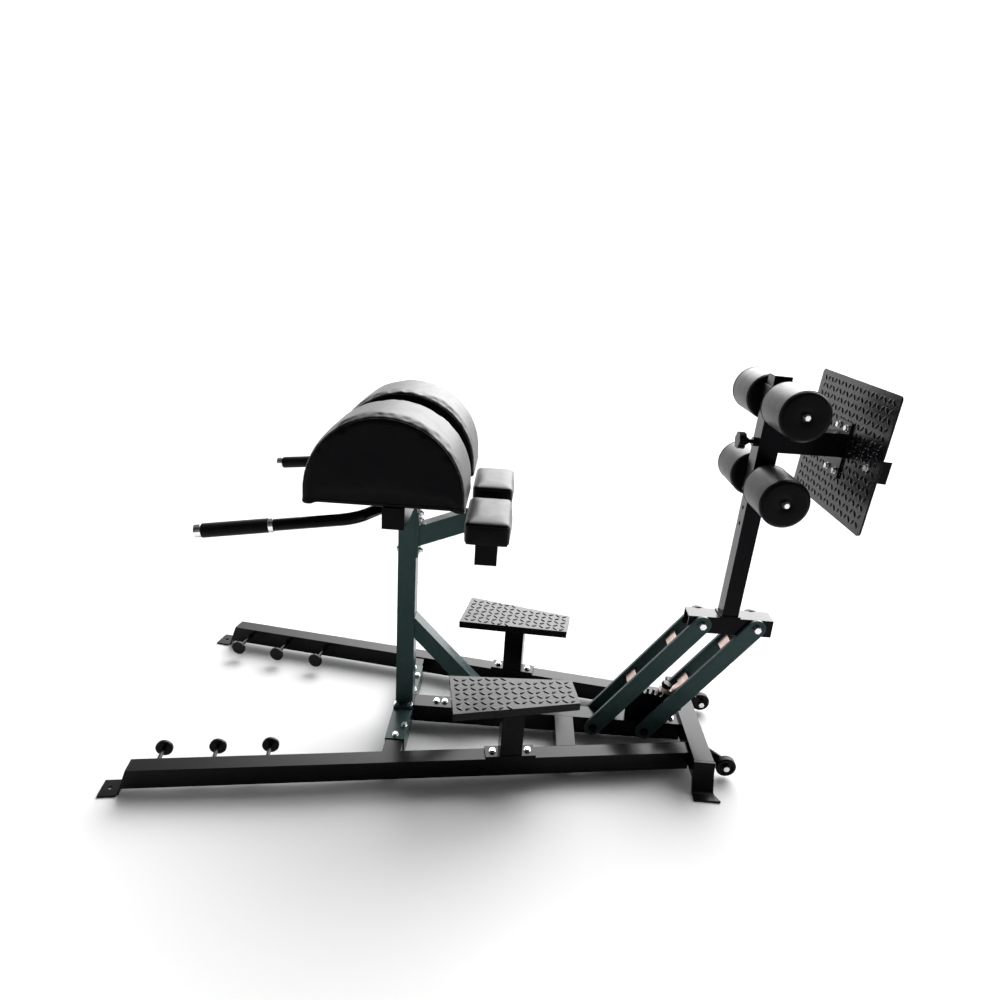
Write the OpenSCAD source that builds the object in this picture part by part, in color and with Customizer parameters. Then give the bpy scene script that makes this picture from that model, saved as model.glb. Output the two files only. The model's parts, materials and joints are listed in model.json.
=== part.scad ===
// Roman chair of the glute-ham kind: a V-shaped base, two domed hip pads on a post,
// and an ankle station carried by a parallelogram of flat links.
// Millimetres, +Z up, origin on the floor under the middle of the machine.
// -X is the head end, +X the footplate end. The user lies facing down with the head
// towards -X, so the user's left is -Y. Pieces for the +Y side are drawn, then mirrored.

/* [Base] */
// X of the rails' front ends, measured at the top edge
rail_front_x = -947; // [-960:1:-930]
// Half the distance between the rails' centre lines at their front ends
rail_front_y = 402; // [380:1:420]
// Angle between each rail and the centre line, in degrees
rail_angle = 9.1; // [8:0.1:10]
// Width of the rail tube
rail_w = 50; // [46:1:56]
// Side of the square frame tube, and the height of the rail tube
tube = 60; // [56:1:64]
// Wall of the frame tube
wall = 3; // [2:0.5:4]
// Height of the rails' undersides above the floor
rail_z = 20; // [16:1:26]
// X of the middle of the rear cross tube
rear_x = 694; // [685:1:702]
// Half the length of the rear cross tube
rear_half = 222; // [212:1:232]
// X of the tubes that tie the centre beam to the rails
side_tube_x = 283; // [270:1:295]

/* [Post and pads] */
// X of the main post
post_x = -240; // [-250:1:-230]
// Side of the main post
post_w = 55; // [50:1:58]
// Height of the underside of the hip pads' cross tube
pad_tube_z = 790; // [775:1:805]
// Radius of the dome of the hip pads
hip_r = 215.5; // [205:0.5:225]
// Height of the straight side below the dome
hip_side = 27.5; // [22:0.5:32]
// X of the middle of the hip pads
hip_x = -267; // [-277:1:-257]
// Distance from the centre line to the inner face of a hip pad
hip_in = 54; // [46:1:60]
// Distance from the centre line to the outer face of a hip pad
hip_out = 280; // [270:1:290]
// X of the middle of the thigh pads
thigh_x = 6; // [-4:1:15]
// Length of a thigh pad along X
thigh_w = 127; // [110:1:135]
// Height of the underside of the thigh pads
thigh_z = 768; // [760:1:776]

/* [Ankle station] */
// X of the front links' lower pivot
pivot_x = 380; // [370:1:390]
// Distance between the front and rear pivots
pivot_gap = 167; // [160:1:175]
// Distance between a link's two pivots
link_len = 498; // [480:1:515]
// Angle of the links above the floor, as drawn
link_angle = 53.4; // [50:0.1:57]
// Width of a link bar
link_w = 56; // [50:1:60]
// Lean of the ankle post towards the footplate, in degrees
lean = 2; // [1:0.1:3]
// Radius of an ankle roller
roller_r = 66; // [60:1:70]
// Distance between the two rollers' axles
roller_pitch = 234; // [226:1:242]
// Lean of the footplate, in degrees
plate_lean = 4; // [3:0.1:5]
// Half the width of the footplate
plate_half = 241; // [230:1:250]
// Height of the footplate
plate_h = 376; // [360:1:390]

/* [Hidden] */
$fn = 48;

// colours
c_black = [0.10, 0.10, 0.11];
c_green = [0.20, 0.27, 0.27];
c_pad = [0.13, 0.13, 0.14];
c_tread = [0.62, 0.63, 0.65];
c_steel = [0.78, 0.78, 0.80];
c_board = [0.16, 0.14, 0.13];
c_bronze = [0.75, 0.58, 0.30];

// base levels
frame_top = rail_z + tube;
rear_top = frame_top + 14;
rear_front = rear_x - tube / 2;
cross_half = 205;
spigot = tube - 2 * wall - 0.5;
// bolts through the cross tube into its spigots, from the post's axis
cross_bolts = [[19, 140], [0, 188]];
// bolts down through the beam: two into its spigot and one at its rear end
beam_bolts = [post_x + tube / 2 + 74, post_x + tube / 2 + 101, rear_front - 26];
// the post's foot plate, half its length and width, and its bolts
post_foot = [30, 56];
post_foot_t = 8;
post_foot_bolt = [21, 42];
// bolts of a step post's foot plate, to each side along the rail
step_bolt = 53;
// heights of the bolts that hold the thigh arm's flange to the post
arm_bolts = [618, 717, 738];

// step plates, in the rail's own frame
step_s = 1072;
step_top = 290;
step_len = 367;
step_front_w = 190;
step_rear_w = 115;
step_t = 4;
step_lip = 24;

// band pegs, in the rail's own frame
peg_s = 56;
peg_pitch = 152;
peg_reach = 88;

// transport wheels
wheel_x = 779;
wheel_y = 169;
wheel_z = 41;
wheel_r = 31;
wheel_w = 24;

// hip and thigh pads
pad_board_t = 15;
hip_z = pad_tube_z + tube;
pad_tube_half = hip_out - 3;
thigh_board_t = 12;
thigh_tube_z = thigh_z - thigh_board_t - tube;
thigh_half = 254;
thigh_in = 41;
thigh_out = 270;
thigh_t = 54;
arm_slope = 21.8;

// handles: grip end, elbow, and the point on the cross tube
handle_a = [-738, 325, 767.5];
handle_b = [-336, 290, 818];
handle_c = [post_x - tube / 2, 130, 808];
handle_r = 16;
handle_bend = 70;
grip_r = 19;
grip_len = 198;

// links
pivot_z = rail_z + tube / 2;
bolt_r = 8;
bush_r = 12;
link_t = 10;
link_gap = 1;
link_y = tube / 2 + link_gap;
spacer = 40;
spacer_at = [208, 391];
upper_x = pivot_x + link_len * cos(link_angle);
upper_z = pivot_z + link_len * sin(link_angle);

// lock: a notched sector round the rear lower pivot, and a plunger on the rear links
sector_r = 137;
sector_t = 8;
lock_turn = 15;
lock_in = sector_r + 3.5;
lock_out = lock_in + 15.5;
lock_r = 5;
notch_step = 8;

// carriage and ankle post
carriage_len = 260;
carriage_h = 56;
carriage_rise = 25;
carriage_top = upper_z + carriage_rise;
post_base_x = upper_x + pivot_gap / 2 + 0.5;
post_len = 742;
post_tube = 50;
sleeve = 58;
sleeve_wall = 3.5;
sleeve_lo = 398;
sleeve_hi = 714;
roller_lo = 438;
roller_off = 6;
roller_in = 57;
roller_out = 220;
axle_r = 10;
knob_at = 551;
plunger_r = 6;

// footplate and its arm
plate_x = 989;
plate_z = 1031.5;
plate_t = 5;
plate_corner = 14;
arm_z = 1038;
arm_h = 68;
arm_w = 56;
// bolts through the footplate: the arm's, at +-y and two heights, and the cross tube's
foot_bolt_y = 26;
foot_bolt_z = [-68, 56];
tube_bolt_y = 180;
foot_tube_t = 38;
foot_tube_half = 209;
foot_tube_z = -15;
flange_t = 6;

// ---- helpers ----

// everything drawn for the +Y side, put on the -Y side
module to_left() {
    mirror([0, 1, 0]) children();
}

module both() {
    children();
    to_left() children();
}

// the +Y rail's own frame: +X runs back along the rail, from its front top edge
module on_rail() {
    translate([rail_front_x, rail_front_y, 0]) rotate([0, 0, -rail_angle]) children();
}

// square or rectangular tube along X, centred on Y and Z
module box_tube(len, w, h, t) {
    difference() {
        translate([0, -w / 2, -h / 2]) cube([len, w, h]);
        translate([-1, -w / 2 + t, -h / 2 + t]) cube([len + 2, w - 2 * t, h - 2 * t]);
    }
}

// rectangle centred on the origin, with corners of radius r
module rounded_rect(len, w, r) {
    square([len - 2 * r, w], center = true);
    square([len, w - 2 * r], center = true);
    for (x = [-1, 1], y = [-1, 1]) translate([x * (len / 2 - r), y * (w / 2 - r)])
        circle(r = r);
}

// space taken by the +Y rail and all outside it
module outside_rail() {
    on_rail() translate([-300, -rail_w / 2, -50]) cube([2600, 900, 400]);
}

// hexagon head on the XY plane, pointing down -Z, with a washer and a shank up +Z
module bolt(r, shank) {
    translate([0, 0, -2]) cylinder(r = r * 2, h = 2);
    translate([0, 0, -2 - r * 1.25]) cylinder(r = r * 1.7, h = r * 1.25, $fn = 6);
    cylinder(r = r, h = shank);
}

// a bar lying along a link, from its lower pivot, in the XZ plane
module link_frame(x0) {
    translate([x0, 0, pivot_z]) rotate([0, -link_angle, 0]) children();
}

module post_frame() {
    translate([post_base_x, 0, carriage_top]) rotate([0, lean, 0]) children();
}

module plate_frame() {
    translate([plate_x, 0, plate_z]) rotate([0, plate_lean, 0]) children();
}

// ---- base ----

module rail() {
    slant = 22;
    difference() {
        on_rail() translate([-slant, 0, rail_z + tube / 2]) box_tube(1700, rail_w, tube, wall);
        translate([rear_front, -50, -10]) cube([200, 400, 200]);
        // slanted front end
        on_rail() rotate([90, 0, 0]) translate([0, 0, -50]) linear_extrude(height = 100)
            polygon([[0, frame_top + 0.01], [-80, frame_top + 0.01], [-80, rail_z - 0.01],
                [-slant, rail_z - 0.01]]);
        // bolt holes for the step post's foot
        for (s = [-step_bolt, step_bolt]) on_rail() translate([step_s + s, 0, frame_top - 20])
            cylinder(r = 5.5, h = 30);
        // holes for the band pegs
        for (i = [0:2]) on_rail() translate([peg_s + i * peg_pitch, 0, rail_z + tube / 2])
            rotate([90, 0, 0]) cylinder(r = 6.3, h = rail_w);
    }
}

module rail_right() {
    color(c_black) rail();
}

module rail_left() {
    color(c_black) to_left() rail();
}

module front_foot() {
    on_rail() difference() {
        union() {
            rotate([90, 0, 0]) translate([0, 0, -rail_w / 2]) linear_extrude(height = rail_w)
                polygon([[0, frame_top], [-5.3, frame_top], [-32.8, 5], [-60, 5], [-60, 0],
                    [-29.4, 0]]);
            translate([-84, -33, 0]) cube([50, 66, 5]);
        }
        // floor anchor hole
        translate([-60, 0, -1]) cylinder(r = 6, h = 8);
    }
}

module front_feet() {
    color(c_black) both() front_foot();
}

module rear_cross_tube() {
    color(c_black) translate([rear_x, -rear_half, rear_top - tube / 2]) rotate([0, 0, 90])
        box_tube(2 * rear_half, tube, tube, wall);
}

module rear_foot() {
    // bent plate that closes the tube's end and turns out along the floor
    translate([rear_x - 32, 0, 0]) rotate([90, 0, 90]) linear_extrude(height = 64)
        polygon([[rear_half, rear_top], [rear_half + 8, rear_top], [rear_half + 12, 60],
            [rear_half + 32, 12], [rear_half + 42, 7], [rear_half + 65, 6],
            [rear_half + 65, 0], [rear_half + 26, 0], [rear_half + 22, 10],
            [rear_half, 54]]);
    // toe
    linear_extrude(height = 6)
        polygon([[rear_x + 20, rear_half + 34], [rear_x + 32, rear_half + 34],
            [rear_x + 47, rear_half + 65], [rear_x + 20, rear_half + 65]]);
}

module rear_feet() {
    color(c_black) both() rear_foot();
}

module front_cross_tube() {
    color(c_green) difference() {
        translate([post_x, -cross_half, rail_z + tube / 2]) rotate([0, 0, 90])
            box_tube(2 * cross_half, tube, tube, wall);
        both() for (q = cross_bolts) translate([post_x + q[0], q[1], frame_top - 20])
            cylinder(r = 5.5, h = 40);
        for (x = [-1, 1], y = [-1, 1])
            translate([post_x + x * post_foot_bolt[0], y * post_foot_bolt[1], frame_top - 20])
            cylinder(r = 5.5, h = 40);
    }
}

// square spigots that join the cross tube to the rails, and the beam to the cross tube
module frame_spigots() {
    color(c_black) {
        both() difference() {
            translate([post_x, 120, rail_z + tube / 2]) rotate([0, 0, 90])
                box_tube(200, spigot, spigot, 4);
            outside_rail();
            for (q = cross_bolts) translate([post_x + q[0], q[1], frame_top - 20])
                cylinder(r = 5.5, h = 40);
        }
        difference() {
            translate([post_x + tube / 2, 0, rail_z + tube / 2])
                box_tube(125, spigot, spigot, 4);
            for (x = beam_bolts) translate([x, 0, frame_top - 20]) cylinder(r = 5.5, h = 40);
        }
    }
}

module centre_beam() {
    x0 = post_x + tube / 2;
    color(c_black) difference() {
        translate([x0, 0, rail_z + tube / 2]) box_tube(rear_front - x0, tube, tube, wall);
        for (x = [pivot_x, pivot_x + pivot_gap]) translate([x, 50, pivot_z])
            rotate([90, 0, 0]) cylinder(r = bolt_r + 0.05, h = 100);
        for (x = beam_bolts) translate([x, 0, frame_top - 20]) cylinder(r = 5.5, h = 40);
    }
}

module side_tubes() {
    color(c_black) both() difference() {
        translate([side_tube_x, tube / 2, rail_z + tube / 2]) rotate([0, 0, 90])
            box_tube(260, tube, tube, wall);
        outside_rail();
    }
}

module main_post() {
    color(c_green) difference() {
        union() {
            translate([post_x, 0, frame_top + post_foot_t]) rotate([0, -90, 0])
                box_tube(pad_tube_z - frame_top - post_foot_t, post_w, post_w, wall);
            translate([post_x - post_foot[0], -post_foot[1], frame_top])
                cube([2 * post_foot[0], 2 * post_foot[1], post_foot_t]);
        }
        for (x = [-1, 1], y = [-1, 1])
            translate([post_x + x * post_foot_bolt[0], y * post_foot_bolt[1], frame_top - 1])
                cylinder(r = 5.5, h = 20);
        // through bolts of the thigh arm's flange
        for (z = arm_bolts) translate([post_x - 40, 0, z]) rotate([0, 90, 0])
            cylinder(r = 5.3, h = 80);
    }
}

module post_brace() {
    // square tube from the post down to the beam, cut flat at both ends
    color(c_green) intersection() {
        translate([post_x + post_w / 2, 0, 360]) rotate([0, 46.5, 0]) translate([-60, 0, 0])
            box_tube(520, 50, 50, wall);
        translate([post_x + post_w / 2, -40, frame_top]) cube([500, 80, 400]);
    }
}

module frame_bolts() {
    color(c_steel) {
        // cross tube to spigots, and post foot to cross tube, heads on top
        both() {
            for (q = cross_bolts) translate([post_x + q[0], q[1], frame_top])
                mirror([0, 0, 1]) bolt(5, 16);
            for (x = [-1, 1])
                translate([post_x + x * post_foot_bolt[0], post_foot_bolt[1],
                    frame_top + post_foot_t]) mirror([0, 0, 1]) bolt(5, 16);
            on_rail() for (s = [-step_bolt, step_bolt])
                translate([step_s + s, 0, frame_top + 8]) mirror([0, 0, 1]) bolt(5, 16);
        }
        // beam to spigot, and beam to rear tube
        for (x = beam_bolts) translate([x, 0, frame_top]) mirror([0, 0, 1]) bolt(5, 12);
        // thigh arm flange, through the post
        for (z = arm_bolts) translate([post_x - post_w / 2, 0, z]) rotate([0, 90, 0])
            bolt(5, post_w + 18);
        for (z = arm_bolts) translate([post_x + post_w / 2 + 6.1, 0, z]) rotate([0, 90, 0])
            difference() {
                cylinder(r = 8.5, h = 8, $fn = 6);
                translate([0, 0, -1]) cylinder(r = 4.9, h = 7);
            }
    }
}

module step_posts() {
    color(c_black) both() on_rail() {
        difference() {
            translate([step_s - 75, -rail_w / 2, frame_top]) cube([150, rail_w, 8]);
            for (s = [-step_bolt, step_bolt]) translate([step_s + s, 0, frame_top - 1])
                cylinder(r = 5.5, h = 20);
        }
        translate([step_s, 0, frame_top + 8]) rotate([0, -90, 0])
            box_tube(step_top - step_t - 8 - frame_top - 8, 46, 66, wall);
        translate([step_s - 60, -40, step_top - step_t - 8]) cube([120, 80, 8]);
    }
}

// plan outline of a step plate, in the rail's frame, inset by d
module step_outline(d) {
    polygon([[-step_len / 2 + d, -step_front_w / 2 + d], [step_len / 2 - d, -step_rear_w / 2 + d],
        [step_len / 2 - d, step_rear_w / 2 - d], [-step_len / 2 + d, step_front_w / 2 - d]]);
}

module step_plate() {
    on_rail() translate([step_s, 0, 0]) {
        translate([0, 0, step_top - step_t]) linear_extrude(height = step_t) step_outline(0);
        translate([0, 0, step_top - step_lip]) linear_extrude(height = step_lip) difference() {
            step_outline(0);
            step_outline(step_t);
        }
    }
}

module step_plate_right() {
    color(c_tread) step_plate();
}

module step_plate_left() {
    color(c_tread) to_left() step_plate();
}

module band_pegs() {
    color(c_steel) both() on_rail() for (i = [0:2])
        translate([peg_s + i * peg_pitch, -rail_w / 2, rail_z + tube / 2]) rotate([90, 0, 0]) {
            translate([0, 0, -12]) cylinder(r = 6, h = peg_reach + 12);
            cylinder(r = 11, h = 4);
            translate([0, 0, peg_reach - 8]) cylinder(r = 25, h = 8);
        }
}

module wheel_brackets() {
    y0 = wheel_y - wheel_w / 2 - 1;
    color(c_black) both() difference() {
        translate([rear_x + tube / 2, y0 - 8, 0]) rotate([90, 0, 0]) translate([0, 0, -8])
            linear_extrude(height = 8) difference() {
                union() {
                    polygon([[0, rear_top - 4], [0, rear_top - 52],
                        [wheel_x - rear_x - tube / 2, wheel_z - 14],
                        [wheel_x - rear_x - tube / 2, wheel_z + 14]]);
                    translate([wheel_x - rear_x - tube / 2, wheel_z]) circle(r = 14);
                }
                translate([wheel_x - rear_x - tube / 2, wheel_z]) circle(r = 6.05);
            }
    }
}

module wheel_axles() {
    y0 = wheel_y - wheel_w / 2 - 1;
    color(c_steel) both() translate([wheel_x, y0 - 8, wheel_z]) rotate([-90, 0, 0]) {
        translate([0, 0, -6]) cylinder(r = 10, h = 6, $fn = 6);
        cylinder(r = 6, h = wheel_w + 10.2);
        translate([0, 0, wheel_w + 10.2]) cylinder(r = 9, h = 5);
    }
}

module wheel() {
    translate([wheel_x, wheel_y - wheel_w / 2, wheel_z]) rotate([-90, 0, 0])
        rotate_extrude() polygon([[6.06, 0], [14, 0], [14, 4], [21, 4], [21, 0],
            [wheel_r - 3, 0], [wheel_r, 3], [wheel_r, wheel_w - 3], [wheel_r - 3, wheel_w],
            [21, wheel_w], [21, wheel_w - 4], [14, wheel_w - 4], [14, wheel_w],
            [6.06, wheel_w]]);
}

module wheel_right() {
    color(c_black) wheel();
}

module wheel_left() {
    color(c_black) to_left() wheel();
}

// ---- hip and thigh pads ----

module pad_tube() {
    color(c_black) translate([post_x, -pad_tube_half, pad_tube_z + tube / 2]) rotate([0, 0, 90])
        box_tube(2 * pad_tube_half, tube, tube, wall);
}

// plastic caps pressed on the open ends of the two pad tubes
module tube_caps() {
    color(c_black) both() {
        translate([post_x - tube / 2, pad_tube_half, pad_tube_z]) cube([tube, 3, tube]);
        translate([post_x - 20, pad_tube_half - 12, pad_tube_z + 10]) cube([40, 12, 40]);
        translate([thigh_x - tube / 2, thigh_half, thigh_tube_z]) cube([tube, 3, tube]);
        translate([thigh_x - 20, thigh_half - 12, thigh_tube_z + 10]) cube([40, 12, 40]);
    }
}

// board let into the underside of a hip pad, drawn below bottom too when it cuts its pocket
module hip_board(below) {
    translate([hip_x - hip_r + 14, hip_in + 8, hip_z - below])
        cube([2 * hip_r - 28, hip_out - hip_in - 16, pad_board_t + below]);
}

module hip_boards() {
    color(c_board) both() hip_board(0);
}

module hip_pad() {
    // domed section with softened lower corners
    c = 12;
    difference() {
        translate([hip_x, hip_out, hip_z]) rotate([90, 0, 0])
            linear_extrude(height = hip_out - hip_in) union() {
                difference() {
                    translate([0, hip_side]) circle(r = hip_r, $fn = 96);
                    translate([-300, -400]) square([600, 400 + hip_side]);
                }
                translate([-hip_r, c]) square([2 * hip_r, hip_side - c + 1]);
                translate([-hip_r + c, 0]) square([2 * hip_r - 2 * c, c + 1]);
                for (x = [-1, 1]) translate([x * (hip_r - c), c]) circle(r = c);
            }
        hip_board(2);
    }
}

module hip_pad_right() {
    color(c_pad) hip_pad();
}

module hip_pad_left() {
    color(c_pad) to_left() hip_pad();
}

// frame at p with X along u and Y in the plane of u and w
module frame_at(p, u, w) {
    e1 = u / norm(u);
    v = w - (w * e1) * e1;
    e2 = v / norm(v);
    e3 = cross(e1, e2);
    translate(p) rotate([atan2(e2[2], e3[2]), -asin(e1[2]), atan2(e1[1], e1[0])]) children();
}

// round bar from a to c, bent once at b with radius bend; the bend is a hair thicker,
// so that it meets the straight legs in clean steps
module bent_bar(a, b, c, r, bend, over) {
    u = (b - a) / norm(b - a);
    w = (c - b) / norm(c - b);
    turn = acos(u * w);
    cut = bend * tan(turn / 2);
    leg = norm(b - a) - cut;
    frame_at(a, u, w) {
        translate([-over, 0, 0]) rotate([0, 90, 0]) cylinder(r = r, h = leg + over + 0.5);
        translate([leg, bend, 0]) rotate([0, 0, -90]) rotate_extrude(angle = turn)
            translate([bend, 0]) circle(r = r + 0.2);
        translate([leg + bend * sin(turn), bend * (1 - cos(turn)), 0]) rotate([0, 0, turn])
            translate([-0.5, 0, 0]) rotate([0, 90, 0])
                cylinder(r = r, h = norm(c - b) - cut + 30 + over);
    }
}

module handle() {
    difference() {
        bent_bar(handle_a, handle_b, handle_c, handle_r, handle_bend, 0);
        bent_bar(handle_a, handle_b, handle_c, handle_r - 3, handle_bend, 1);
        translate([post_x - tube / 2, 0, 700]) cube([200, 400, 200]);
    }
}

module handle_right() {
    color(c_black) handle();
}

module handle_left() {
    color(c_black) to_left() handle();
}

module grips() {
    color(c_pad) both() frame_at(handle_a, handle_b - handle_a, [0, 0, 1])
        rotate([0, 90, 0]) translate([0, 0, 14]) difference() {
            cylinder(r = grip_r, h = grip_len - 26);
            translate([0, 0, -1]) cylinder(r = handle_r, h = grip_len);
        }
}

// bright collar at each end of a grip; the outer one closes the tube
module grip_collars() {
    color(c_steel) both() frame_at(handle_a, handle_b - handle_a, [0, 0, 1])
        rotate([0, 90, 0]) {
            translate([0, 0, -4]) cylinder(r = grip_r, h = 4);
            difference() {
                cylinder(r = grip_r, h = 14);
                translate([0, 0, -1]) cylinder(r = handle_r, h = 16);
            }
            translate([0, 0, grip_len - 12]) difference() {
                cylinder(r = grip_r + 1, h = 12);
                translate([0, 0, -1]) cylinder(r = handle_r, h = 14);
            }
        }
}

module thigh_arm() {
    x0 = post_x + post_w / 2;
    color(c_green) {
        difference() {
            translate([x0, -30, 604]) cube([6, 60, 146]);
            for (z = arm_bolts) translate([x0 - 1, 0, z]) rotate([0, 90, 0])
                cylinder(r = 5.3, h = 10);
        }
        intersection() {
            translate([x0 + 6, 0, 672]) rotate([0, -arm_slope, 0]) translate([-40, 0, 0])
                box_tube(300, 50, tube, wall);
            translate([x0 + 6, -40, 600]) cube([thigh_x - tube / 2 - x0 - 6, 80,
                thigh_tube_z + tube - 600]);
        }
    }
}

module thigh_tube() {
    color(c_black) translate([thigh_x, -thigh_half, thigh_tube_z + tube / 2])
        rotate([0, 0, 90]) box_tube(2 * thigh_half, tube, tube, wall);
}

module thigh_boards() {
    color(c_board) both()
        translate([thigh_x - thigh_w / 2 + 8, thigh_in + 8, thigh_z - thigh_board_t])
            cube([thigh_w - 16, thigh_out - thigh_in - 16, thigh_board_t]);
}

module thigh_pad() {
    translate([thigh_x, (thigh_in + thigh_out) / 2, thigh_z]) linear_extrude(height = thigh_t)
        rounded_rect(thigh_w, thigh_out - thigh_in, 9);
}

module thigh_pad_right() {
    color(c_pad) thigh_pad();
}

module thigh_pad_left() {
    color(c_pad) to_left() thigh_pad();
}

// ---- parallelogram ----

// sector plate on the beam, notched round the rear lower pivot
module lock_sector() {
    rest = link_angle + lock_turn;
    color(c_black) translate([pivot_x + pivot_gap, sector_t / 2, pivot_z]) rotate([90, 0, 0])
        linear_extrude(height = sector_t) difference() {
            intersection() {
                circle(r = sector_r, $fn = 96);
                // clear of the beam's rear bolt
                polygon([[-62, tube / 2], [74, tube / 2], [76, 44], [140, 76], [140, 160],
                    [-62, 160]]);
            }
            for (i = [0:4]) rotate(rest + i * notch_step) translate([sector_r - 12, 0]) {
                circle(r = lock_r + 0.4);
                translate([0, -lock_r - 0.4]) square([30, 2 * lock_r + 0.8]);
            }
        }
}

// pivot bolt across the machine with a head and a nut outside the links
module pivot_bolt(x, z) {
    y0 = link_y + link_t + 1;
    translate([x, -y0, z]) rotate([-90, 0, 0]) {
        cylinder(r = bolt_r, h = 2 * y0);
        translate([0, 0, -3]) cylinder(r = 14, h = 3);
        translate([0, 0, -11]) cylinder(r = 11, h = 8, $fn = 6);
        translate([0, 0, 2 * y0]) cylinder(r = 14, h = 3);
        translate([0, 0, 2 * y0 + 3]) cylinder(r = 11, h = 8, $fn = 6);
    }
}

module lower_pivot_bolts() {
    color(c_steel) for (x = [pivot_x, pivot_x + pivot_gap]) pivot_bolt(x, pivot_z);
}

module upper_pivot_bolts() {
    color(c_steel) for (x = [upper_x, upper_x + pivot_gap]) pivot_bolt(x, upper_z);
}

// two flat bars with round ends
module link_arms(x0) {
    both() link_frame(x0) translate([0, link_y + link_t, 0]) rotate([90, 0, 0])
        linear_extrude(height = link_t) difference() {
            union() {
                translate([0, -link_w / 2]) square([link_len, link_w]);
                circle(r = link_w / 2);
                translate([link_len, 0]) circle(r = link_w / 2);
            }
            circle(r = bush_r);
            translate([link_len, 0]) circle(r = bush_r);
        }
}

module front_link_arms() {
    color(c_green) link_arms(pivot_x);
}

module rear_link_arms() {
    color(c_green) link_arms(pivot_x + pivot_gap);
}

// square tubes welded between the two bars
module link_spacers(x0) {
    link_frame(x0) for (s = spacer_at) translate([s, -link_y, -2]) rotate([0, 0, 90])
        box_tube(2 * link_y, spacer, spacer, wall);
}

module front_link_spacers() {
    color(c_green) link_spacers(pivot_x);
}

// the rear pair's lower spacer also carries the lock's bracket
module rear_link_spacers() {
    color(c_green) {
        link_spacers(pivot_x + pivot_gap);
        difference() {
            lock_axis() rotate([0, -90, 0]) rotate([90, 0, 0]) translate([0, 0, -12])
                linear_extrude(height = 24) polygon([[lock_in, 14], [lock_out, 14],
                    [lock_out, -20], [186, -32], [176.5, -68], [150, -40], [lock_in, -16]]);
            lock_axis() translate([0, 0, 120]) cylinder(r = 10, h = 60);
        }
    }
}

module link_bushes(x0) {
    both() link_frame(x0) for (s = [0, link_len]) translate([s, link_y + link_t, 0])
        rotate([90, 0, 0]) difference() {
            cylinder(r = bush_r, h = link_t);
            translate([0, 0, -1]) cylinder(r = bolt_r + 0.05, h = link_t + 2);
        }
}

module front_link_bushes() {
    color(c_bronze) link_bushes(pivot_x);
}

module rear_link_bushes() {
    color(c_bronze) link_bushes(pivot_x + pivot_gap);
}

// the lock's radial axis, from the rear lower pivot outwards
module lock_axis() {
    link_frame(pivot_x + pivot_gap) rotate([0, -lock_turn, 0]) rotate([0, 90, 0]) children();
}

module lock_barrel() {
    color(c_steel) lock_axis() translate([0, 0, lock_in - 1.5]) difference() {
        cylinder(r = 10, h = lock_out - lock_in + 2.5);
        translate([0, 0, -1]) cylinder(r = lock_r + 0.05, h = 30);
    }
}

// plunger pin and its knurled knob
module lock_knob() {
    color(c_black) lock_axis() {
        translate([0, 0, sector_r + 0.6]) cylinder(r = lock_r, h = 24);
        translate([0, 0, lock_out + 3]) star_knob(17, 14);
    }
}

// knob with shallow lobes round its rim
module star_knob(r, h) {
    linear_extrude(height = h) difference() {
        circle(r = r);
        for (a = [0:60:300]) rotate(a) translate([r + 3, 0]) circle(r = 6);
    }
}

module carriage() {
    mid = upper_x + pivot_gap / 2 + 4;
    color(c_black) difference() {
        translate([mid - carriage_len / 2, 0, carriage_top - carriage_h / 2])
            box_tube(carriage_len, tube, carriage_h, 4);
        // open underneath: an inverted channel
        translate([mid - carriage_len / 2 - 1, -tube / 2 + 4, carriage_top - carriage_h - 1])
            cube([carriage_len + 2, tube - 8, 8]);
        for (x = [upper_x, upper_x + pivot_gap]) translate([x, 50, upper_z])
            rotate([90, 0, 0]) cylinder(r = bolt_r + 0.05, h = 100);
    }
}

// ---- ankle station ----

module ankle_post() {
    color(c_black) {
        difference() {
            post_frame() translate([0, 0, -20]) rotate([0, -90, 0])
                box_tube(post_len + 20, post_tube, post_tube, wall);
            // cut level inside the thickness of the foot plate
            translate([post_base_x - 100, -100, carriage_top - 98]) cube([200, 200, 100]);
            // row of holes for the height plunger
            for (z = [knob_at - 250:50:knob_at + 50]) post_frame() translate([-40, 0, z])
                rotate([0, 90, 0]) cylinder(r = plunger_r + 0.5, h = 20);
        }
        // foot plate, wider than the tube by its weld bead
        translate([post_base_x - 32, -post_tube / 2 - 4, carriage_top])
            cube([64, post_tube + 8, 5]);
    }
}

module post_cap() {
    color(c_black) post_frame() {
        translate([-post_tube / 2, -post_tube / 2, post_len])
            cube([post_tube, post_tube, 3]);
        translate([-20, -20, post_len - 12]) cube([40, 40, 12]);
    }
}

module ankle_sleeve() {
    color(c_black) post_frame() difference() {
        union() {
            translate([0, 0, sleeve_lo]) rotate([0, -90, 0])
                box_tube(sleeve_hi - sleeve_lo, sleeve, sleeve, sleeve_wall);
            translate([-sleeve / 2 - 11, 0, knob_at]) rotate([0, 90, 0])
                cylinder(r = 13, h = 11);
        }
        translate([-60, 0, knob_at]) rotate([0, 90, 0]) cylinder(r = plunger_r + 0.06, h = 40);
    }
}

// stub axles on both sides of the sleeve
module roller_axles() {
    color(c_steel) both() post_frame() for (z = [roller_lo, roller_lo + roller_pitch])
        translate([roller_off, sleeve / 2, z]) rotate([-90, 0, 0]) difference() {
            union() {
                cylinder(r = 17, h = 6);
                cylinder(r = axle_r, h = roller_out - sleeve / 2 + 2);
            }
            translate([0, 0, roller_out - sleeve / 2 - 20]) cylinder(r = 5, h = 40);
        }
}

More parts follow.
